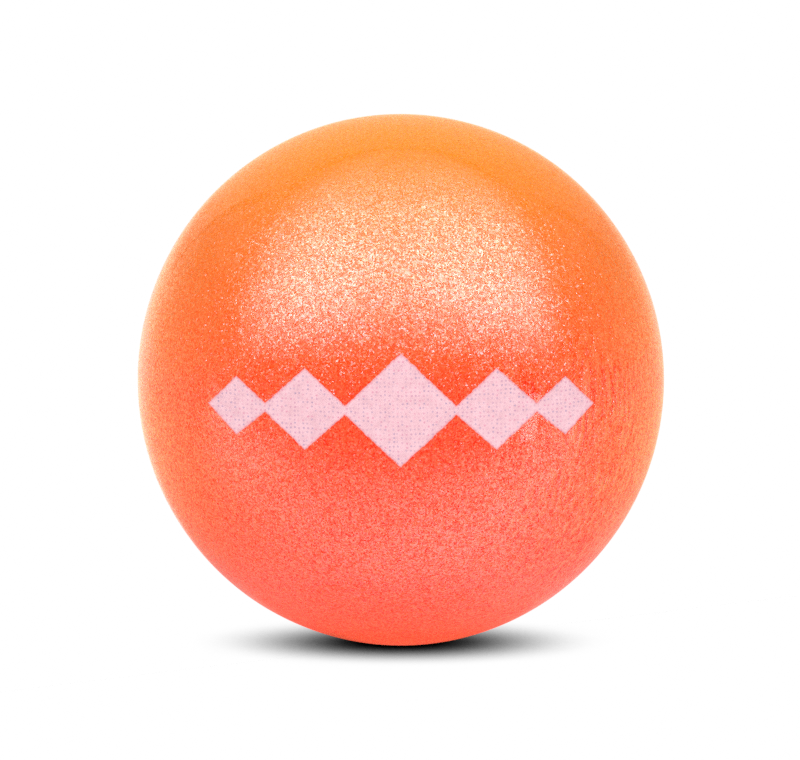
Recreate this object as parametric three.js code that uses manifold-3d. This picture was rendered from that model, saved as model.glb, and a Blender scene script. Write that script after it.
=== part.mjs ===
// A petanque jack: the small target ball of the game, turned from boxwood, sprayed in thin
// films and printed on one side. Millimetres, +Z up. The origin is the ball's centre, +Z runs
// along the wood's grain and -Y is the printed side.

import * as THREE from "three";
import { mergeVertices } from "three/addons/utils/BufferGeometryUtils.js";
import Module from "manifold-3d";

// Finished ball
const ACROSS_GRAIN = 30; // diameter across the grain
const ALONG_GRAIN = 30.3; // length along the grain, where wood shrinks least as it dries

// Films, from the wood outwards
const UNDERCOAT_FILM = 0.08; // white, fills the pores
const PEARL_FILM = 0.1; // orange, carries the mica flakes
const LACQUER_FILM = 0.12; // clear and glossy
const INK_FILM = 0.03; // white print on the lacquer
const FILM_GAP = 0.02; // between one layer and the next

// Hole left by the needle that holds the ball for spraying, in the end grain underneath
const NEEDLE_BORE = 1; // diameter
const NEEDLE_DEPTH = 6; // below the wood's surface, to the shoulder of the point
const NEEDLE_POINT = 1.2; // length of the point

// Printed mark: a plain chain of lozenges that grow towards the middle
const MARK_WIDTH = 21.6;
const MARK_HEIGHT = 6.4; // of the middle lozenge
const MARK_DROP = 0.3; // its middle, below the ball's centre
const MARK_NECK = 0.5; // height of the ink where two lozenges meet
const LOZENGES_EACH_SIDE = 2;
const LOZENGE_SHRINK = 0.72; // a lozenge's size as a share of its inner neighbour's

// Facets, the same on every layer so that the layers stay parallel
const SLICES = 40; // around the grain
const RINGS = 20; // from pole to pole

const wasm = await Module();
wasm.setup();

// Every layer is bounded by spheroids about the grain, each with a radius and a half length.

const shrunk = (spheroid, by) => ({
  radius: spheroid.radius - by,
  half: spheroid.half - by,
});

const grown = (spheroid, by) => shrunk(spheroid, -by);

const lacquerOutside = { radius: ACROSS_GRAIN / 2, half: ALONG_GRAIN / 2 };
const lacquerInside = shrunk(lacquerOutside, LACQUER_FILM);
const pearlOutside = shrunk(lacquerInside, FILM_GAP);
const pearlInside = shrunk(pearlOutside, PEARL_FILM);
const undercoatOutside = shrunk(pearlInside, FILM_GAP);
const undercoatInside = shrunk(undercoatOutside, UNDERCOAT_FILM);
const woodOutside = shrunk(undercoatInside, FILM_GAP);
const inkInside = grown(lacquerOutside, FILM_GAP);
const inkOutside = grown(inkInside, INK_FILM);

// A spheroid's profile from the top pole down to `rim`, the radius where it stops.
function meridian({ radius, half }, rim = 0) {
  const stop = Math.PI - Math.asin(rim / radius);
  const points = [];
  for (let ring = 0; ring <= RINGS; ring++) {
    const fromPole = (Math.PI * ring) / RINGS;
    if (fromPole >= stop) break;
    const x = ring === 0 ? 0 : radius * Math.sin(fromPole);
    points.push(new THREE.Vector2(x, half * Math.cos(fromPole)));
  }
  points.push(new THREE.Vector2(rim, half * Math.cos(stop)));
  return points;
}

// A profile from the top pole, spun about the grain.
function turned(profile) {
  const geometry = new THREE.LatheGeometry(profile.toReversed(), SLICES);
  return geometry.rotateX(Math.PI / 2);
}

function woodenBall() {
  const rim = NEEDLE_BORE / 2;
  const profile = meridian(woodOutside, rim);
  const shoulder = profile.at(-1).y + NEEDLE_DEPTH;
  profile.push(new THREE.Vector2(rim, shoulder));
  profile.push(new THREE.Vector2(0, shoulder + NEEDLE_POINT));
  return turned(profile);
}

// A film that wraps the ball and stops at the needle hole.
function film(outside, inside) {
  const rim = NEEDLE_BORE / 2;
  return turned([...meridian(outside, rim), ...meridian(inside, rim).toReversed()]);
}

function toSolid(geometry) {
  const bare = geometry.clone();
  bare.deleteAttribute("normal");
  bare.deleteAttribute("uv");
  const merged = mergeVertices(bare, 1e-4);
  return new wasm.Manifold(
    new wasm.Mesh({
      numProp: 3,
      vertProperties: merged.attributes.position.array,
      triVerts: new Uint32Array(merged.index.array),
    }),
  );
}

function toGeometry(solid) {
  const { vertProperties, triVerts } = solid.getMesh();
  const geometry = new THREE.BufferGeometry();
  geometry.setAttribute("position", new THREE.BufferAttribute(vertProperties, 3));
  geometry.setIndex(new THREE.BufferAttribute(triVerts, 1));
  geometry.computeVertexNormals();
  return geometry;
}

// The mark's outline as it is seen from the front, x to the right and y up.
function lozengeChain() {
  const sizes = [];
  for (let i = -LOZENGES_EACH_SIDE; i <= LOZENGES_EACH_SIDE; i++) {
    sizes.push(LOZENGE_SHRINK ** Math.abs(i));
  }
  const total = sizes.reduce((sum, size) => sum + size, 0);
  const edge = [];
  let left = -MARK_WIDTH / 2;
  for (const size of sizes) {
    const width = (MARK_WIDTH * size) / total;
    edge.push([left + width / 2, (MARK_HEIGHT * size) / 2]);
    edge.push([left + width, MARK_NECK / 2]);
    left += width;
  }
  edge.pop(); // the last lozenge ends in a tip
  const tip = MARK_WIDTH / 2;
  const upper = edge.map(([x, y]) => new THREE.Vector2(x, y));
  const lower = edge.toReversed().map(([x, y]) => new THREE.Vector2(x, -y));
  return [new THREE.Vector2(-tip, 0), ...upper, new THREE.Vector2(tip, 0), ...lower];
}

// The ink film: a shell over the lacquer, cut to the mark's outline from the front.
function printedMark() {
  const outline = new THREE.Shape(lozengeChain().toReversed());
  const stamp = new THREE.ExtrudeGeometry(outline, {
    depth: 2 * inkOutside.radius,
    bevelEnabled: false,
  });
  stamp.rotateX(Math.PI / 2);
  stamp.translate(0, 0, -MARK_DROP);
  const shell = toSolid(turned(meridian(inkOutside))).subtract(
    toSolid(turned(meridian(inkInside))),
  );
  return toGeometry(shell.intersect(toSolid(stamp)));
}

function finish(color, roughness, metalness = 0) {
  return new THREE.MeshStandardMaterial({ color, roughness, metalness });
}

function piece(name, geometry, material) {
  const mesh = new THREE.Mesh(geometry, material);
  mesh.name = name;
  return mesh;
}

const clear = finish("#ff8a4c", 0.06);
clear.transparent = true;
clear.opacity = 0.3;

const jack = new THREE.Group();
jack.add(
  piece("wooden_ball", woodenBall(), finish("#e2c48a", 0.6)),
  piece("white_undercoat", film(undercoatOutside, undercoatInside), finish("#f3efe6", 0.7)),
  piece("pearl_coat", film(pearlOutside, pearlInside), finish("#ff7440", 0.35, 0.3)),
  piece("clear_lacquer", film(lacquerOutside, lacquerInside), clear),
  piece("printed_mark", printedMark(), finish("#ffe4e6", 0.4)),
);

export default jack;
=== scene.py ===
"""A petanque jack: a turned wooden ball in orange pearl paint under clear lacquer, printed on its front.

Metres, +Z up along the wood's grain, with the ball's centre at the origin and -Y towards the camera.
"""

import math

import bpy
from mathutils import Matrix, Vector, geometry, kdtree, noise


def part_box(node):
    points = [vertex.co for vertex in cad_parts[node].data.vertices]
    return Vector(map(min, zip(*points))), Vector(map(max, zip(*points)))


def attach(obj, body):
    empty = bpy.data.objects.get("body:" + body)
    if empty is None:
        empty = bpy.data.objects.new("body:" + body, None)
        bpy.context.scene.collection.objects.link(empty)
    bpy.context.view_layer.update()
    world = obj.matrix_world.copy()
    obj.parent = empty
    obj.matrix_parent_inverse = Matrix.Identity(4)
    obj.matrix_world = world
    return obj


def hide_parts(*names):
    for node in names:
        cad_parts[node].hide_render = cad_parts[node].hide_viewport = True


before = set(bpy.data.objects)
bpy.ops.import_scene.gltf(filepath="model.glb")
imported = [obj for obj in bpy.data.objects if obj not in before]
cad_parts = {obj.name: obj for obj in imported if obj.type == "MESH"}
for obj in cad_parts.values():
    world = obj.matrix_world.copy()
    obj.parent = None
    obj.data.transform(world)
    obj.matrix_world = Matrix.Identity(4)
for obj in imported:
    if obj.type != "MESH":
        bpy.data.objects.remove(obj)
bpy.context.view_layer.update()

MM = 0.001

# The ball as the photograph frames it, in pixels
IMAGE_WIDTH = 800
IMAGE_HEIGHT = 760
BALL_MIDDLE_X = 400.85
BALL_MIDDLE_Y = 379.68
BALL_HALF_WIDTH = 263.14

# Camera
CAMERA_RISE = math.radians(5.5)
CAMERA_DISTANCE = 0.6
SENSOR_WIDTH = 36

# The ball's own sizes, from the frame
lacquer_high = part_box("clear_lacquer")[1]
undercoat_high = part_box("white_undercoat")[1]
mark_low, mark_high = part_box("printed_mark")
RADIUS = lacquer_high.x
HALF_LENGTH = lacquer_high.z
FILM_GAP = 0.02 * MM  # between the undercoat and the paint
INNER_RADIUS = undercoat_high.x + FILM_GAP
INNER_HALF = undercoat_high.z + FILM_GAP
NEEDLE_RADIUS = min(
    math.hypot(v.co.x, v.co.y)
    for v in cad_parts["clear_lacquer"].data.vertices
    if v.co.z < 0
)

# Relief of the paint
WAVE_HEIGHT = 0.012 * MM
WAVE_LENGTH = 7 * MM
RIDGE_HEIGHT = 0.002 * MM
RIDGE_SPACING = 1.1 * MM
GRAIN_STRETCH = 0.05  # how fast the grain changes along Z, against across it
RIM_ROUNDING = 0.06 * MM

# Mesh of the finish
SLICES = 360
RINGS = 220
INNER_RINGS = 24
RIM_STEPS = 4

# Printed mark
LOZENGES_EACH_SIDE = 2
LOZENGE_SHRINK = 0.72
MARK_NECK = 0.5 * MM
INK_HEIGHT = 0.02 * MM
INK_SEAT = 0.01 * MM  # how far its underside lies below the paint's surface
INK_EDGE = 0.12 * MM  # width of its thin edge
INK_RIM = 0.35  # height at its very edge, as a share
INK_STEP = 0.08 * MM  # between the points of its mesh
INK_WELD = 1e-7  # the distance within which such points become one
INK_RAGGED = 0.05 * MM  # how far its edge strays
INK_RAGGED_LENGTH = 0.18 * MM  # of the waves in its edge
INK_SEED = 1  # of their noise, which would differ from run to run without one
INK_MOTTLE = [(0.3, (0.82, 0.5, 0.555)), (0.7, (0.92, 0.585, 0.64))]
INK_PATCH = 0.5 * MM
INK_ROUGHNESS = (0.34, 0.44)
INK_THIN_COLOUR = (0.8, 0.16, 0.17, 1)  # where the paint shines through its thin edge
INK_THIN_SHARE = 0.6
DOT_PITCH = 0.24 * MM  # of the printing screen
DOT_SIZE = 0.3  # a dot's radius as a share of the pitch
DOT_CORE = 0.5  # the share of that radius within which it is full
DOT_STRAY = 0.5  # how far the dots stray from an even screen
DOT_FAINT = 0.2  # the faintest dot's strength
DOT_SHARE = 0.62  # how much of its tone shows
DOT_TONES = [(0.2, (0.72, 0.24, 0.38)), (0.7, (0.3, 0.24, 0.42))]
DOT_HEIGHT = 0.004 * MM

NOISE_SPAN = (0.3, 0.7)  # the values between which most of a noise lies

# Wood and undercoat
WOOD_RINGS = [
    (0.3, (0.62, 0.43, 0.2)),
    (0.55, (0.76, 0.57, 0.3)),
    (0.75, (0.82, 0.66, 0.39)),
]
WOOD_RING_WIDTH = 1.6 * MM
WOOD_ROUGHNESS = (0.5, 0.68)
PORE_COLOUR = (0.45, 0.29, 0.13, 1)
PORE_WIDTH = 0.25 * MM
PORE_DEPTH = 0.02 * MM
PORE_BUMP = 0.5
PORE_START = (0.55, 0.75)  # the noise at which a pore begins, and at which it is full
PORE_SHARE = 0.35  # how much of its colour shows
UNDERCOAT_MOTTLE = [(0.3, (0.8, 0.77, 0.7)), (0.7, (0.88, 0.86, 0.81))]
UNDERCOAT_PATCH = 2.5 * MM
UNDERCOAT_ROUGHNESS = (0.55, 0.75)
SANDING_WIDTH = 0.3 * MM
SANDING_DEPTH = 0.006 * MM
SANDING_BUMP = 0.6

# Paint, from the bottom of the ball to its top, with painted light: paler and more orange towards the top
# as painted light from above, and deepest red round the middle as a painted dark reflection of the room
PAINT_WITH_PAINTED_LIGHT = [
    (0.0, (1.0, 0.06, 0.018)),
    (0.3, (1.0, 0.042, 0.014)),
    (0.5, (1.0, 0.038, 0.012)),
    (0.65, (1.0, 0.1, 0.013)),
    (0.8, (1.0, 0.178, 0.014)),
    (1.0, (1.0, 0.31, 0.018)),
]
SHEEN = [  # its weight, by height as PAINT_WITH_PAINTED_LIGHT has it
    (0.0, 0.08),
    (0.15, 0.08),
    (0.35, 0.42),
    (0.45, 0.49),
    (0.6, 0.4),
    (0.8, 0.12),
    (1.0, 0.13),
]
SHEEN_STRAY = (0.4, 1.6)  # times that, from flake to flake
SHEEN_ROUGHNESS = 0.65
SHEEN_TINT = (1.0, 0.84, 0.16, 1)

# Mica flakes, with heights as PAINT_WITH_PAINTED_LIGHT has them
PEARL = [(0.62, (1.0, 0.85, 0.94)), (0.85, (1.0, 0.84, 0.86))]  # what they mirror best, by height
PEARL_HUES = [(0.2, (1.0, 1.0, 0.82)), (0.8, (1.0, 0.93, 1.0))]  # and from flake to flake
FLAKE_SIZE = 0.08 * MM
FLAKE_IOR = 1.8
FLAKE_ROUGHNESS = (0.13, 0.32)
FLAKE_LEAN = 0.22
FLAKE_LEAN_FAR = 0.8  # how much further a few of them lean
FLAKE_LEAN_POWER = 4  # the more, the fewer they are
FLAKE_STRAY = (0, 0.06, 0.016)  # how far the flakes' own colours stray
STRAY_HEIGHTS = (0.2, 0.6)  # between which they stray less and less
STRAY_GAIN = (1.5, 1)
FLAKE_SHARP = (0.68, 0.8)  # heights between which fewer and fewer flakes mirror well
FLAKE_POWER = (1.5, 2)  # the more, the fewer they are
FLAKE_GAIN = (0.75, 0.87)  # gloss of the best of them
FLAKE_FADE = (0.845, 0.935)  # heights between which the flakes sink into the paint
FLAKE_SHOULDER = 850  # for each square metre of X squared, how much lower they do so
FLAKE_SUNK = 0.12  # what is left of their gloss then

# Specks where the paint is bare of flakes
SPECK_SPACING = 3 * MM
SPECK_SIZE = 0.1 * MM
SPECK_SHARE = 0.8  # how much of its colour shows
SPECK_COLOUR = (1.0, 0.03, 0.008, 1)

# Streaks of the grain, at the ball's right, where the paint over them is also painted paler as a painted
# glint of the light that grazes them
STREAK_PAINTED_GLINT = (0, 0.18, 0.1)  # how far the paint pales over the grain: a painted glint
STREAK_SPACING = 0.32 * MM
STREAK_STRETCH = 0.2  # as GRAIN_STRETCH
STREAK_HEIGHT = 0.1 * MM
STREAK_EDGES = (0.35, 0.65)  # the noise at which a streak begins, and at which it is full
STREAK_START = (4 * MM, 9 * MM)  # X at which the streaks are faintest, and strongest
STREAK_END = (12 * MM, 14.5 * MM)  # X at which they begin to fade, and are faint again
STREAK_TOP = (-1 * MM, 4 * MM)  # Z at which they begin to fade, and are faint
STREAK_FAINT = (0.1, 0.25, 0.2)  # what is left at the start, at the end and at the top
PATCH_SIZE = 2.2 * MM
PATCH_EDGES = (0.35, 0.6)  # the noise between the patches, and in them
PATCH_FAINT = 0.25  # how strong the streaks are between the patches

# Clear lacquer
COAT_WEIGHT = 0.4
COAT_ROUGHNESS = 0.06
COAT_IOR = 1.45
COAT_RIDGE_SPACING = 0.3 * MM
COAT_RIDGE_HEIGHT = 0.0006 * MM
COAT_PEEL_SIZE = 0.9 * MM
COAT_PEEL_HEIGHT = 0.0014 * MM

# Studio, with places on the softbox and the ceiling sheet in units of their height
MIRRORED_TINT = (2.2, 1, 1, 1)  # of the softbox, the strip lamp and the floor, as the ball mirrors them
ROOM_TINT = (2.2, 1.1, 0.82, 1)  # and of the sheet and the room
PANEL_HEIGHT = 0.3
PANEL_LIGHT = 0.85  # level of the softbox as a lamp
PANEL_MIRRORED = 4.3  # and as the ball mirrors it
PANEL_Y = (-4, 0.65)  # its front and back
PANEL_HALF_WIDTH = 1.97  # straight over the ball
PANEL_FLARE = 2.62  # how fast its half width grows towards the front
PANEL_ALONG = [  # times that level, from front to back
    (0.0, 0.0),
    (0.172, 0.25),
    (0.323, 0.62),
    (0.46, 1.08),
    (0.538, 1.5),
    (0.598, 2.0),
    (0.667, 2.3),
    (0.731, 2.27),
    (0.806, 1.64),
    (0.839, 1.33),
    (0.871, 1.1),
    (0.908, 0.82),
    (0.953, 0.45),
    (0.989, 0.2),
    (1.0, 0.0),
]
PANEL_ACROSS = [  # and times that, from left to right
    (0.0, 0.0),
    (0.12, 0.2),
    (0.215, 0.46),
    (0.306, 0.77),
    (0.389, 1.05),
    (0.426, 0.98),
    (0.465, 0.74),
    (0.5, 0.79),
    (0.544, 0.92),
    (0.581, 1.02),
    (0.694, 0.93),
    (0.785, 0.47),
    (0.88, 0.15),
    (1.0, 0.0),
]
SHEET_NEAR = (-0.72, 0.82, 0.7)  # the sheet's near edge: left end, right end and distance behind the ball
SHEET_FAR = (-3.56, 4.36, 6)  # and its far edge
SHEET_EDGE = 0.15  # width of its dark edges
SHEET_LIGHT = [  # its level from left to right
    (0.0, 0.25),
    (0.133, 0.38),
    (0.27, 0.64),
    (0.35, 0.88),
    (0.42, 0.8),
    (0.5, 0.72),
    (0.6, 0.58),
    (0.68, 0.52),
    (0.78, 0.34),
    (0.87, 0.3),
    (1.0, 0.28),
]
SHEET_SPAN = 3.5  # from the middle to the first and last of these
SHEET_BACKING = 1.001  # height of the dark sheet above it, whose edges stand out
ROOM_RADIUS = 5
ROOM_RINGS = 16
ROOM_SLICES = 48
ROOM_FRONT = 0.12  # level of the room behind the camera, as the ball mirrors it
ROOM_SIDE = 0.42
ROOM_TURN = (-0.6, 0)  # Y of the direction at which the front ends, and the side begins
ROOM_RISE = [(0.05, 1.0), (0.35, 0.35), (0.45, 0.4), (0.52, 1.2)]  # times that, by Z of the direction
ROOM_BACK = 1.5  # level of the backdrop
BACK_TURN = (0.6, 0.95)  # Y of the direction at which it begins, and has its full level
BACK_RISE = (0, 0.15)  # Z of the direction over which it dims upwards
BACK_ABOVE = 0.66  # to this share
BACK_SIDES = (-0.6, 0.35)  # X of the direction over which it dims to the right
BACK_RIGHT = 0.56  # to this share
FLOOR_HALF = 6
FLOOR_LIGHT = 1.2  # level of the floor as a lamp
FLOOR_DEPTH = 0.1  # the stretch of floor along Y, either way, whose reflection changes
FLOOR_MIRRORED = [  # its level there, from front to back: a painted pool of the softbox's light before the ball
    (0.0, 0.12),
    (0.28, 0.22),
    (0.32, 0.65),
    (0.375, 2.15),
    (0.422, 2.6),
    (0.436, 2.15),
    (0.46, 1.2),
    (0.485, 0.8),
    (0.5, 0.5),
]
FLOOR_WIDTH = 0.04  # the stretch of floor along X, either way, whose reflection changes
FLOOR_ACROSS = [  # times that, from left to right: painted unevenness of that light
    (0.0, 1.1),
    (0.25, 0.75),
    (0.42, 0.78),
    (0.58, 1.02),
    (0.75, 1.06),
    (1.0, 1.04),
]
CONTACT_REACH = (4 * MM, 11.5 * MM)  # where the contact shadow starts to fade and ends, in reflections
CONTACT_DARK = 0.12  # the share of the floor's level that is left in it
CONTACT_RED = 11  # red of its tint in reflections, where green and blue are 1
SHADOW_REACH = 0.08
SHADOW_SKY = (0.045, 0.515)  # open sky at which the floor is black, and at which it is white
SHADOW_LEAN = math.radians(8)  # towards the softbox, whose side of the sky counts most
SHADOW_SAMPLES = 32
AMBIENT = 1.0  # level of the world
STRIP_LIGHT = 9
STRIP_AWAY = 0.048  # from the ball's axis
STRIP_TURN = math.radians(50)  # from straight ahead, to the right
STRIP_HALF_WIDTH = 2.8 * MM
STRIP_OFF_FLOOR = 0.3 * MM
STRIP_TOP = -1 * MM


class Shader:
    """The node tree of one material or of the world."""

    def __init__(self, tree):
        self.tree = tree

    def add(self, kind, inputs=None, **settings):
        """A new node. An input takes a value or another node's output."""
        node = self.tree.nodes.new(kind)
        for name, value in settings.items():
            setattr(node, name, value)
        for socket, value in (inputs or {}).items():
            self.set(node.inputs[socket], value)
        return node

    def set(self, socket, value):
        if isinstance(value, bpy.types.NodeSocket):
            self.tree.links.new(value, socket)
        else:
            socket.default_value = value

    def math(self, operation, first, second=0.0, third=0.0):
        node = self.add("ShaderNodeMath", {0: first, 1: second, 2: third}, operation=operation)
        return node.outputs[0]

    def vector(self, operation, first, second=(0, 0, 0)):
        node = self.add("ShaderNodeVectorMath", {0: first, 1: second}, operation=operation)
        return node.outputs[0]

    def scaled(self, vector, factor):
        node = self.add("ShaderNodeVectorMath", {0: vector, "Scale": factor}, operation="SCALE")
        return node.outputs[0]

    def place(self):
        """Where a point lies on its piece, in metres."""
        return self.add("ShaderNodeTexCoord").outputs["Object"]

    def noise(self, vector, size, detail=2.0):
        """Soft noise from 0 to 1 whose features are about `size` across."""
        node = self.add("ShaderNodeTexNoise", {"Vector": vector, "Scale": 1 / size, "Detail": detail})
        return node.outputs["Fac"]

    def cells(self, vector, size):
        """Random numbers, three for each cell of about `size` across."""
        node = self.add("ShaderNodeTexVoronoi", {"Vector": vector, "Scale": 1 / size})
        return node.outputs["Color"]

    def ramp(self, value, stops):
        """A colour ramp through (place, colour) stops."""
        node = self.add("ShaderNodeValToRGB", {"Fac": value})
        elements = node.color_ramp.elements
        while len(elements) < len(stops):
            elements.new(1)
        for element, (place, colour) in zip(elements, stops):
            element.position = place
            element.color = (*colour, 1)
        return node.outputs["Color"]

    def grey(self, value, stops):
        """A ramp through (place, level) stops."""
        return self.ramp(value, [(place, (level, level, level)) for place, level in stops])

    def spread(self, value, low, high, to_low=0.0, to_high=1.0, kind="LINEAR"):
        """A value from low..high moved to to_low..to_high, and held there."""
        inputs = {"Value": value, 1: low, 2: high, 3: to_low, 4: to_high}
        return self.add("ShaderNodeMapRange", inputs, interpolation_type=kind).outputs["Result"]

    def parts(self, vector):
        """The X, Y and Z of a vector."""
        return self.add("ShaderNodeSeparateXYZ", {"Vector": vector}).outputs

    def pick(self, factor, first, second):
        """The first number at factor 0, the second at factor 1."""
        node = self.add("ShaderNodeMix", data_type="FLOAT")
        self.set(node.inputs["Factor"], factor)
        self.set(node.inputs["A"], first)
        self.set(node.inputs["B"], second)
        return node.outputs["Result"]

    def blend(self, factor, first, second, kind="MIX"):
        node = self.add("ShaderNodeMix", data_type="RGBA", blend_type=kind)
        self.set(node.inputs["Factor"], factor)
        self.set(node.inputs["A"], first)
        self.set(node.inputs["B"], second)
        return node.outputs["Result"]

    def bump(self, height, distance, strength=1.0, under=None):
        """A normal bent by a height from 0 to 1, on top of another bump's normal if one is given."""
        inputs = {"Height": height, "Distance": distance, "Strength": strength}
        if under is not None:
            inputs["Normal"] = under
        return self.add("ShaderNodeBump", inputs).outputs["Normal"]


def new_material(name):
    """A material with one Principled shader, and that shader."""
    material = bpy.data.materials.new(name)
    material.use_nodes = True
    shader = Shader(material.node_tree)
    return material, shader, material.node_tree.nodes["Principled BSDF"]


def set_inputs(shader, node, **values):
    """Inputs by name, with an underscore for each space."""
    for name, value in values.items():
        shader.set(node.inputs[name.replace("_", " ")], value)


def grain_place(shader, stretch=GRAIN_STRETCH):
    """Coordinates in which the wood's grain is even: stretched along Z."""
    return shader.vector("MULTIPLY", shader.place(), (1, 1, stretch))


def boxwood():
    material, shader, surface = new_material("boxwood")
    along = grain_place(shader)
    rings = shader.noise(along, WOOD_RING_WIDTH, detail=3)
    pores = shader.noise(along, PORE_WIDTH)
    colour = shader.ramp(rings, WOOD_RINGS)
    colour = shader.blend(shader.spread(pores, *PORE_START, 0, PORE_SHARE), colour, PORE_COLOUR)
    roughness = shader.spread(rings, *NOISE_SPAN, *WOOD_ROUGHNESS)
    normal = shader.bump(pores, PORE_DEPTH, PORE_BUMP)
    set_inputs(shader, surface, Base_Color=colour, Roughness=roughness, Normal=normal)
    return material


def undercoat():
    material, shader, surface = new_material("undercoat")
    mottle = shader.noise(shader.place(), UNDERCOAT_PATCH, detail=3)
    sanded = shader.noise(grain_place(shader), SANDING_WIDTH)
    colour = shader.ramp(mottle, UNDERCOAT_MOTTLE)
    roughness = shader.spread(sanded, *NOISE_SPAN, *UNDERCOAT_ROUGHNESS)
    normal = shader.bump(sanded, SANDING_DEPTH, SANDING_BUMP)
    set_inputs(shader, surface, Base_Color=colour, Roughness=roughness, Normal=normal)
    return material


def streak_strength(shader, place):
    """How much the grain shows, in relief and in its painted glint: most at the right below the middle,
    where the light grazes it, in patches.
    """
    where = shader.parts(place)
    at_start, at_end, at_top = STREAK_FAINT
    strength = shader.spread(where["X"], *STREAK_START, at_start, 1)
    strength = shader.math("MULTIPLY", strength, shader.spread(where["Z"], *STREAK_TOP, 1, at_top))
    strength = shader.math("MULTIPLY", strength, shader.spread(where["X"], *STREAK_END, 1, at_end))
    patches = shader.noise(place, PATCH_SIZE, detail=1)
    patches = shader.spread(patches, *PATCH_EDGES, PATCH_FAINT, 1)
    return shader.math("MULTIPLY", strength, patches)


def bare_specks(shader, place):
    """Strong in the middle of each speck, and nothing outside it."""
    inputs = {"Vector": place, "Scale": 1 / SPECK_SPACING}
    away = shader.add("ShaderNodeTexVoronoi", inputs).outputs["Distance"]
    return shader.spread(away, 0, SPECK_SIZE / SPECK_SPACING, SPECK_SHARE, 0)


def flake_lean(shader, flake, chance):
    """Each flake leans its own way, a few of them far."""
    reach = shader.math("MULTIPLY", shader.math("POWER", chance, FLAKE_LEAN_POWER), FLAKE_LEAN_FAR)
    reach = shader.math("ADD", reach, FLAKE_LEAN)
    return shader.scaled(shader.vector("SUBTRACT", flake, (0.5, 0.5, 0.5)), reach)


def flake_level(shader, place, share, chance):
    """How well each flake mirrors: few of them higher up, and hardly any at the top and the shoulders."""
    level = shader.math("POWER", chance, shader.spread(share, *FLAKE_SHARP, *FLAKE_POWER))
    level = shader.math("MULTIPLY", level, shader.spread(share, *FLAKE_SHARP, *FLAKE_GAIN))
    x = shader.parts(place)["X"]
    shoulder = shader.math("MULTIPLY_ADD", shader.math("MULTIPLY", x, x), FLAKE_SHOULDER, share)
    return shader.math("MULTIPLY", level, shader.spread(shoulder, *FLAKE_FADE, 1, FLAKE_SUNK))


def flake_tint(shader, share, chance):
    """Pearl by height, with a hue of its own for each flake."""
    by_height = shader.ramp(share, PEARL)
    return shader.blend(1, by_height, shader.ramp(chance, PEARL_HUES), "MULTIPLY")


def paint_colour_with_painted_light(shader, share, chance, pale, speck):
    """Orange with painted light by height, paler towards the top and deepest red round the middle;
    straying from flake to flake, paler over the grain as a painted glint, and plain in the specks.
    """
    stray = shader.math("SUBTRACT", chance, 0.5)
    stray = shader.math("MULTIPLY", stray, shader.spread(share, *STRAY_HEIGHTS, *STRAY_GAIN))
    # the height ramp is paint with painted light: paler towards the top, deepest red round the middle
    colour = shader.vector("ADD", shader.ramp(share, PAINT_WITH_PAINTED_LIGHT), shader.scaled(FLAKE_STRAY, stray))
    # paler over the grain: a painted glint of light, kept to the right where the light grazes
    colour = shader.vector("ADD", colour, shader.scaled(STREAK_PAINTED_GLINT, pale))
    return shader.blend(speck, colour, SPECK_COLOUR)


def lacquer_normal(shader, place):
    """Faint ridges along the grain, and the soft waves of a sprayed coat."""
    ridges = shader.noise(grain_place(shader), COAT_RIDGE_SPACING)
    peel = shader.noise(place, COAT_PEEL_SIZE, detail=1)
    ridged = shader.bump(ridges, COAT_RIDGE_HEIGHT)
    return shader.bump(peel, COAT_PEEL_HEIGHT, under=ridged)


def pearl_finish():
    """Orange paint full of mica flakes, under clear lacquer."""
    material, shader, surface = new_material("pearl_finish")
    place = shader.place()
    share = shader.spread(shader.parts(place)["Z"], -HALF_LENGTH, HALF_LENGTH)
    flake = shader.cells(place, FLAKE_SIZE)
    more = shader.add("ShaderNodeTexWhiteNoise", {"Vector": flake}).outputs["Color"]
    chance = shader.add("ShaderNodeSeparateColor", {"Color": more}).outputs
    speck = bare_specks(shader, place)

    streaks = shader.noise(grain_place(shader, STREAK_STRETCH), STREAK_SPACING)
    streaks = shader.spread(streaks, *STREAK_EDGES)
    strength = streak_strength(shader, place)
    pale = shader.math("MULTIPLY", shader.math("SUBTRACT", streaks, 0.5), strength)
    streaked = shader.bump(streaks, STREAK_HEIGHT, strength)
    lean = flake_lean(shader, flake, chance["Red"])
    level = flake_level(shader, place, share, chance["Blue"])
    sheen_stray = shader.spread(chance["Blue"], 0, 1, *SHEEN_STRAY)

    set_inputs(
        shader,
        surface,
        Base_Color=paint_colour_with_painted_light(shader, share, chance["Green"], pale, speck),
        Roughness=shader.spread(chance["Green"], 0, 1, *FLAKE_ROUGHNESS),
        IOR=FLAKE_IOR,
        Specular_IOR_Level=shader.math("MULTIPLY", level, shader.math("SUBTRACT", 1, speck)),
        Specular_Tint=flake_tint(shader, share, chance["Red"]),
        Normal=shader.vector("NORMALIZE", shader.vector("ADD", streaked, lean)),
        Sheen_Weight=shader.math("MULTIPLY", shader.grey(share, SHEEN), sheen_stray),
        Sheen_Roughness=SHEEN_ROUGHNESS,
        Sheen_Tint=SHEEN_TINT,
        Coat_Weight=COAT_WEIGHT,
        Coat_Roughness=COAT_ROUGHNESS,
        Coat_IOR=COAT_IOR,
        Coat_Normal=lacquer_normal(shader, place),
    )
    return material


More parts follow.
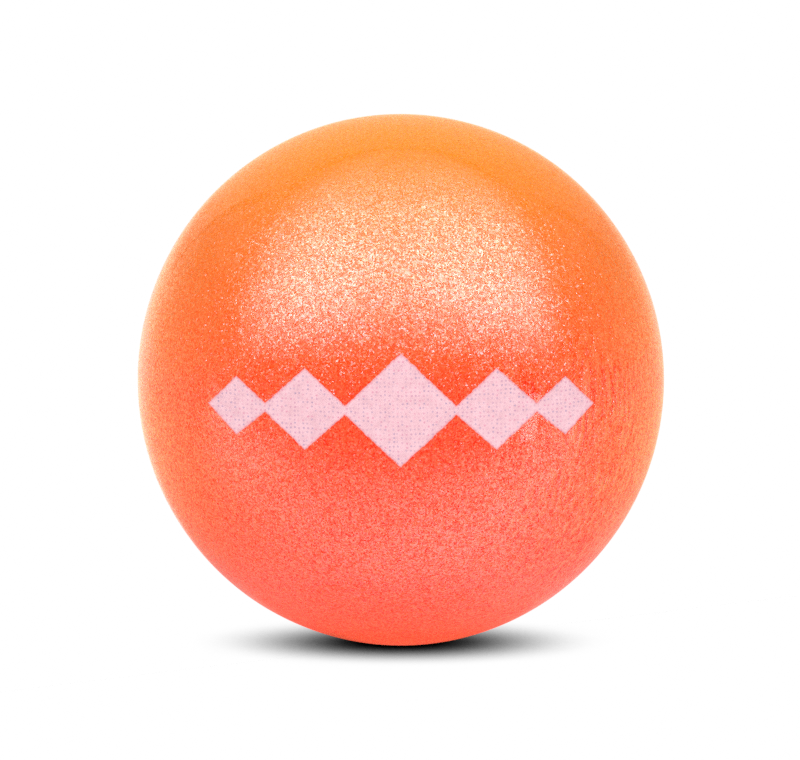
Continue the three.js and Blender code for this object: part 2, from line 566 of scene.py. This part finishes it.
def screen_dots(shader, place):
    """The strength and the tone of the printing screen's dots."""
    where = shader.parts(place)
    front = shader.add("ShaderNodeCombineXYZ", {"X": where["X"], "Y": where["Z"]}).outputs[0]
    inputs = {"Vector": front, "Scale": 1 / DOT_PITCH, "Randomness": DOT_STRAY}
    screen = shader.add("ShaderNodeTexVoronoi", inputs, voronoi_dimensions="2D")
    chance = shader.add("ShaderNodeSeparateColor", {"Color": screen.outputs["Color"]}).outputs
    dot = shader.spread(screen.outputs["Distance"], DOT_SIZE * DOT_CORE, DOT_SIZE, 1, 0)
    dot = shader.math("MULTIPLY", dot, shader.spread(chance["Red"], 0, 1, DOT_FAINT, 1))
    return dot, shader.ramp(chance["Green"], DOT_TONES)


def white_ink():
    """Thin matt white ink, tinted by the paint under it, with the fine dots of a printing screen."""
    material, shader, surface = new_material("white_ink")
    place = shader.place()
    mottle = shader.noise(place, INK_PATCH, detail=3)
    dot, tone = screen_dots(shader, place)
    thin = shader.add("ShaderNodeAttribute", attribute_name="thin").outputs["Fac"]
    colour = shader.ramp(mottle, INK_MOTTLE)
    colour = shader.blend(shader.math("MULTIPLY", dot, DOT_SHARE), colour, tone)
    colour = shader.blend(shader.math("MULTIPLY", thin, INK_THIN_SHARE), colour, INK_THIN_COLOUR)
    set_inputs(
        shader,
        surface,
        Base_Color=colour,
        Roughness=shader.spread(mottle, *NOISE_SPAN, *INK_ROUGHNESS),
        Specular_IOR_Level=0,
        Normal=shader.bump(dot, DOT_HEIGHT),
    )
    return material


def fill_slots(piece, material):
    piece.data.materials.clear()
    piece.data.materials.append(material)


def new_piece(name, points, faces, material):
    mesh = bpy.data.meshes.new(name)
    mesh.from_pydata(points, [], faces)
    mesh.validate()
    mesh.update()
    for polygon in mesh.polygons:
        polygon.use_smooth = True
    piece = bpy.data.objects.new(name, mesh)
    bpy.context.scene.collection.objects.link(piece)
    fill_slots(piece, material)
    return piece


def relief(point):
    """How far the paint stands out at a point: slow waves, and ridges along the grain."""
    wave = noise.noise(point / WAVE_LENGTH)
    across = Vector((point.x, point.y, point.z * GRAIN_STRETCH)) / RIDGE_SPACING
    return WAVE_HEIGHT * wave + RIDGE_HEIGHT * noise.noise(across)


def outer_point(point):
    """A point of the bare spheroid, moved out to the paint's surface."""
    return point + point.normalized() * relief(point)


def meridian(radius, half, rim, steps):
    """(distance from the axis, height) from the top pole down to `rim`."""
    stop = math.pi - math.asin(rim / radius)
    angles = [stop * i / steps for i in range(steps + 1)]
    return [(radius * math.sin(a), half * math.cos(a)) for a in angles]


def finish_profile():
    """The finish in section, and how many points of it are outside.

    It runs down the outside, round the needle hole's rim and up the inside.
    """
    outside = meridian(RADIUS, HALF_LENGTH, NEEDLE_RADIUS + RIM_ROUNDING, RINGS)
    inside = meridian(INNER_RADIUS, INNER_HALF, NEEDLE_RADIUS, INNER_RINGS)
    rim_height = outside[-1][1] + RIM_ROUNDING
    rim = []
    for step in range(1, RIM_STEPS + 1):
        turn = math.pi / 2 * step / RIM_STEPS
        away = NEEDLE_RADIUS + RIM_ROUNDING * (1 - math.sin(turn))
        rim.append((away, rim_height - RIM_ROUNDING * math.cos(turn)))
    return outside + rim + inside[::-1], len(outside)


def spun(profile, outer_count):
    """Points and faces of a profile spun about Z, whose first and last points are on the axis."""
    points = [outer_point(Vector((0, 0, profile[0][1])))]
    for index, (away, height) in enumerate(profile[1:-1], start=1):
        for column in range(SLICES):
            turn = 2 * math.pi * column / SLICES
            point = Vector((away * math.cos(turn), away * math.sin(turn), height))
            points.append(outer_point(point) if index < outer_count else point)
    points.append(Vector((0, 0, profile[-1][1])))
    last = len(points) - 1
    ring_count = len(profile) - 2
    faces = []
    for column in range(SLICES):
        after = (column + 1) % SLICES
        faces.append((0, 1 + column, 1 + after))
        for ring in range(ring_count - 1):
            here = 1 + ring * SLICES
            below = here + SLICES
            faces.append((here + column, below + column, below + after, here + after))
        end = 1 + (ring_count - 1) * SLICES
        faces.append((end + column, last, end + after))
    return points, faces


def make_finish():
    points, faces = spun(*finish_profile())
    piece = new_piece("pearl_finish", points, faces, pearl_finish())
    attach(piece, "root")
    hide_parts("pearl_coat", "clear_lacquer")


def lozenge_chain():
    """The mark's outline from the front, as (x, z) points."""
    width = mark_high.x - mark_low.x
    tall = mark_high.z - mark_low.z
    sizes = [LOZENGE_SHRINK ** abs(i) for i in range(-LOZENGES_EACH_SIDE, LOZENGES_EACH_SIDE + 1)]
    edge = []
    left = -width / 2
    for size in sizes:
        step = width * size / sum(sizes)
        edge += [(left + step / 2, tall * size / 2), (left + step, MARK_NECK / 2)]
        left += step
    edge.pop()
    return [(-width / 2, 0), *edge, (width / 2, 0), *[(x, -z) for x, z in reversed(edge)]]


def ragged(outline):
    """The outline in short steps, with the uneven edge of a print."""
    noise.seed_set(INK_SEED)
    points = []
    for (x0, z0), (x1, z1) in zip(outline, outline[1:] + outline[:1]):
        steps = max(2, round(math.hypot(x1 - x0, z1 - z0) / INK_STEP))
        for step in range(steps):
            share = step / steps
            point = Vector((x0 + (x1 - x0) * share, z0 + (z1 - z0) * share, 0))
            shift = noise.noise_vector(point / INK_RAGGED_LENGTH) * INK_RAGGED
            points.append(Vector((point.x + shift.x, point.y + shift.y)))
    return points


def edge_finder(outline):
    """A search tree of the outline's points."""
    tree = kdtree.KDTree(len(outline))
    for index, point in enumerate(outline):
        tree.insert(point.to_3d(), index)
    tree.balance()
    return tree


def on_front(flat, lift):
    """A flat point of the mark, set on the ball's front `lift` above the paint."""
    x = flat.x
    z = flat.y + (mark_low.z + mark_high.z) / 2
    y = -RADIUS * math.sqrt(1 - (x / RADIUS) ** 2 - (z / HALF_LENGTH) ** 2)
    point = Vector((x, y, z))
    return point + point.normalized() * (relief(point) + lift)


def ink_sheet(outline):
    """The mark as flat points and triangles, with a grid of points inside its outline."""
    width = mark_high.x - mark_low.x
    tall = mark_high.z - mark_low.z
    flat = list(outline)
    for column in range(round(width / INK_STEP) + 1):
        for row in range(round(tall / INK_STEP) + 1):
            flat.append(Vector((column * INK_STEP - width / 2, row * INK_STEP - tall / 2)))
    count = len(outline)
    edges = [(i, (i + 1) % count) for i in range(count)]
    keep_inside = 1
    flat, _, triangles, *_ = geometry.delaunay_2d_cdt(flat, edges, [], keep_inside, INK_WELD)
    used = sorted({i for triangle in triangles for i in triangle})
    number = {old: new for new, old in enumerate(used)}
    return [flat[i] for i in used], [tuple(number[i] for i in triangle) for triangle in triangles]


def make_mark():
    """The ink: a top that thins towards its edge, an underside in the paint, and a wall between them."""
    outline = ragged(lozenge_chain())
    flat, triangles = ink_sheet(outline)
    edge = edge_finder(outline)
    points = []
    thin = []
    for point in flat:
        inwards = min(1, edge.find(point.to_3d())[2] / INK_EDGE)
        rise = INK_RIM + (1 - INK_RIM) * math.sin(inwards * math.pi / 2)
        points.append(on_front(point, INK_HEIGHT * rise))
        thin.append(1 - inwards)
    thin += thin
    base = len(points)
    points += [on_front(point, -INK_SEAT) for point in flat]
    sides = [(a, b) for t in triangles for a, b in zip(t, t[1:] + t[:1])]
    paired = set(sides)
    faces = list(triangles)
    faces += [(c + base, b + base, a + base) for a, b, c in triangles]
    faces += [(b, a, a + base, b + base) for a, b in sides if (b, a) not in paired]
    piece = new_piece("ink_film", points, faces, white_ink())
    piece.data.attributes.new("thin", "FLOAT", "POINT").data.foreach_set("value", thin)
    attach(piece, "root")
    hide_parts("printed_mark")


def dress_inner_layers():
    fill_slots(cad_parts["wooden_ball"], boxwood())
    fill_slots(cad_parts["white_undercoat"], undercoat())


def stage_piece(name, points, faces, material):
    piece = new_piece(name, points, faces, material)
    return piece


def mirrored_tint(shader):
    return MIRRORED_TINT


def room_tint(shader):
    return ROOM_TINT


def glow_material(name, make_level, make_tint=mirrored_tint):
    """A surface that glows at the level that make_level works out: white, but tinted in reflections."""
    material = bpy.data.materials.new(name)
    material.use_nodes = True
    shader = Shader(material.node_tree)
    output = material.node_tree.nodes["Material Output"]
    material.node_tree.nodes.remove(material.node_tree.nodes["Principled BSDF"])
    path = shader.add("ShaderNodeLightPath").outputs
    colour = shader.blend(path["Is Glossy Ray"], (1, 1, 1, 1), make_tint(shader))
    light = shader.add("ShaderNodeEmission", {"Color": colour, "Strength": make_level(shader)})
    shader.set(output.inputs["Surface"], light.outputs[0])
    return material


def contact_shade(shader):
    """The shadow close round the spot where the ball stands, as the ball mirrors it."""
    foot = (0, 0, -HALF_LENGTH)
    away = shader.add("ShaderNodeVectorMath", {0: shader.place(), 1: foot}, operation="DISTANCE")
    return shader.spread(away.outputs["Value"], *CONTACT_REACH, CONTACT_DARK, 1)


def floor_tint(shader):
    """Red in that shadow, where the ball lights the floor."""
    red = shader.spread(contact_shade(shader), CONTACT_DARK, 1, CONTACT_RED, MIRRORED_TINT[0])
    return shader.add("ShaderNodeCombineColor", {"Red": red, "Green": 1, "Blue": 1}).outputs[0]


def floor_seen(shader):
    """White, and darker where the ball hides the sky."""
    upwards = {"Y": -math.sin(SHADOW_LEAN), "Z": math.cos(SHADOW_LEAN)}
    leaning = shader.add("ShaderNodeCombineXYZ", upwards).outputs[0]
    inputs = {"Distance": SHADOW_REACH, "Normal": leaning}
    sky = shader.add("ShaderNodeAmbientOcclusion", inputs, samples=SHADOW_SAMPLES).outputs["AO"]
    return shader.spread(sky, *SHADOW_SKY, kind="SMOOTHSTEP")


def floor_mirrored(shader):
    """A painted pool of light before the ball, a painted shadow under it, and as pale as the backdrop far
    behind it.
    """
    place = shader.parts(shader.place())
    depth = shader.grey(shader.spread(place["Y"], -FLOOR_DEPTH, FLOOR_DEPTH), FLOOR_MIRRORED)
    across = shader.grey(shader.spread(place["X"], -FLOOR_WIDTH, FLOOR_WIDTH), FLOOR_ACROSS)
    level = shader.math("MULTIPLY", depth, across)
    level = shader.math("MULTIPLY", level, contact_shade(shader))
    return shader.math("MAXIMUM", level, backdrop_level(shader))


def floor_level(shader):
    """White with a shadow to the camera, even as a lamp, and with levels of its own in reflections."""
    path = shader.add("ShaderNodeLightPath").outputs
    level = shader.pick(path["Is Glossy Ray"], FLOOR_LIGHT, floor_mirrored(shader))
    return shader.pick(path["Is Camera Ray"], level, floor_seen(shader))


def make_floor():
    corners = [(-1, -1), (1, -1), (1, 1), (-1, 1)]
    points = [(x * FLOOR_HALF, y * FLOOR_HALF, -HALF_LENGTH) for x, y in corners]
    stage_piece("floor", points, [(0, 1, 2, 3)], glow_material("floor", floor_level, floor_tint))


def panel_level(shader):
    """Two bright bands that fan out from back to front, fading towards the edges."""
    place = shader.parts(shader.scaled(shader.place(), 1 / PANEL_HEIGHT))
    half_width = shader.math("MULTIPLY_ADD", place["Y"], -PANEL_FLARE, PANEL_HALF_WIDTH)
    across = shader.spread(shader.math("DIVIDE", place["X"], half_width), -1, 1)
    along = shader.spread(place["Y"], *PANEL_Y)
    level = shader.math("MULTIPLY", shader.grey(along, PANEL_ALONG), shader.grey(across, PANEL_ACROSS))
    path = shader.add("ShaderNodeLightPath").outputs
    strength = shader.pick(path["Is Glossy Ray"], PANEL_LIGHT, PANEL_MIRRORED)
    return shader.math("MULTIPLY", level, strength)


def make_panel():
    """The softbox overhead and to the front."""
    front, back = PANEL_Y
    corners = [(-1, front), (-1, back), (1, back), (1, front)]
    points = []
    for side, y in corners:
        x = side * (PANEL_HALF_WIDTH - PANEL_FLARE * y)
        points.append(Vector((x, y, 1)) * PANEL_HEIGHT)
    panel = stage_piece("softbox", points, [(0, 1, 2, 3)], glow_material("softbox", panel_level))
    panel.visible_camera = False


def only_mirrored(piece):
    """Keeps a piece of the studio out of the picture and the ball's light, but not out of reflections."""
    piece.visible_camera = False
    piece.visible_diffuse = False
    piece.visible_shadow = False


def sheet_level(shader):
    """Brightest left of the middle, and dim at both ends."""
    reach = SHEET_SPAN * PANEL_HEIGHT
    across = shader.spread(shader.parts(shader.place())["X"], -reach, reach)
    return shader.grey(across, SHEET_LIGHT)


def make_sheet():
    """A pale sheet that hangs overhead behind the ball, with dark edges left and right."""
    near_left, near_right, near = SHEET_NEAR
    far_left, far_right, far = SHEET_FAR
    for name, edge, rise, level in (
        ("ceiling_sheet", 0, 1, sheet_level),
        ("ceiling_sheet_edge", SHEET_EDGE, SHEET_BACKING, lambda shader: 0),
    ):
        corners = [
            (near_left - edge, near),
            (far_left - edge, far),
            (far_right + edge, far),
            (near_right + edge, near),
        ]
        points = [Vector((x, y, rise)) * PANEL_HEIGHT for x, y in corners]
        only_mirrored(stage_piece(name, points, [(0, 1, 2, 3)], glow_material(name, level, room_tint)))


def make_strip():
    """A narrow upright lamp close to the ball at the right, towards the camera."""
    middle = Vector((math.sin(STRIP_TURN), -math.cos(STRIP_TURN), 0)) * STRIP_AWAY
    across = Vector((math.cos(STRIP_TURN), math.sin(STRIP_TURN), 0)) * STRIP_HALF_WIDTH
    left = middle - across
    right = middle + across
    low = Vector((0, 0, STRIP_OFF_FLOOR - HALF_LENGTH))
    high = Vector((0, 0, STRIP_TOP))
    points = [left + low, right + low, right + high, left + high]
    glow = glow_material("strip_lamp", lambda shader: STRIP_LIGHT)
    only_mirrored(stage_piece("strip_lamp", points, [(0, 1, 2, 3)], glow))


def backdrop_level(shader):
    """Pale straight behind the ball, less so upwards and to the right, and dark at the sides."""
    towards = shader.parts(shader.vector("NORMALIZE", shader.place()))
    level = shader.spread(towards["Y"], *BACK_TURN, 0, ROOM_BACK)
    level = shader.math("MULTIPLY", level, shader.spread(towards["Z"], *BACK_RISE, 1, BACK_ABOVE))
    return shader.math("MULTIPLY", level, shader.spread(towards["X"], *BACK_SIDES, 1, BACK_RIGHT))


def room_level(shader):
    """Dim towards the camera, brighter behind the ball."""
    towards = shader.parts(shader.vector("NORMALIZE", shader.place()))
    around = shader.spread(towards["Y"], *ROOM_TURN, ROOM_FRONT, ROOM_SIDE)
    around = shader.math("MULTIPLY", around, shader.grey(towards["Z"], ROOM_RISE))
    return shader.math("MAXIMUM", around, backdrop_level(shader))


def make_room():
    """The dim studio round the set, seen only in reflections."""
    points = []
    faces = []
    for ring in range(ROOM_RINGS + 1):
        rise = math.pi / 2 * ring / ROOM_RINGS
        away = ROOM_RADIUS * math.cos(rise)
        for column in range(ROOM_SLICES):
            turn = 2 * math.pi * column / ROOM_SLICES
            points.append((away * math.cos(turn), away * math.sin(turn), ROOM_RADIUS * math.sin(rise)))
    for ring in range(ROOM_RINGS):
        here = ring * ROOM_SLICES
        above = here + ROOM_SLICES
        for column in range(ROOM_SLICES):
            after = (column + 1) % ROOM_SLICES
            faces.append((here + column, above + column, above + after, here + after))
    only_mirrored(stage_piece("studio", points, faces, glow_material("studio", room_level, room_tint)))


def make_world():
    world = bpy.data.worlds.new("studio")
    world.use_nodes = True
    shader = Shader(world.node_tree)
    background = world.node_tree.nodes["Background"]
    set_inputs(shader, background, Color=(1, 1, 1, 1), Strength=AMBIENT)
    bpy.context.scene.world = world


def make_camera():
    data = bpy.data.cameras.new("camera")
    camera = bpy.data.objects.new("camera", data)
    bpy.context.scene.collection.objects.link(camera)
    camera.location = (
        0,
        -CAMERA_DISTANCE * math.cos(CAMERA_RISE),
        CAMERA_DISTANCE * math.sin(CAMERA_RISE),
    )
    camera.rotation_euler = (math.pi / 2 - CAMERA_RISE, 0, 0)
    edge_slope = RADIUS / math.sqrt(CAMERA_DISTANCE ** 2 - RADIUS ** 2)
    data.sensor_width = SENSOR_WIDTH
    data.lens = BALL_HALF_WIDTH / IMAGE_WIDTH * SENSOR_WIDTH / edge_slope
    data.shift_x = (IMAGE_WIDTH / 2 - BALL_MIDDLE_X) / IMAGE_WIDTH
    data.shift_y = (BALL_MIDDLE_Y - IMAGE_HEIGHT / 2) / IMAGE_WIDTH
    bpy.context.scene.camera = camera


make_camera()
make_finish()
make_mark()
dress_inner_layers()
make_floor()
make_panel()
make_sheet()
make_strip()
make_room()
make_world()
bpy.context.scene.view_settings.view_transform = "Standard"
bpy.context.scene.cycles.use_denoising = False  # it would smear the flakes
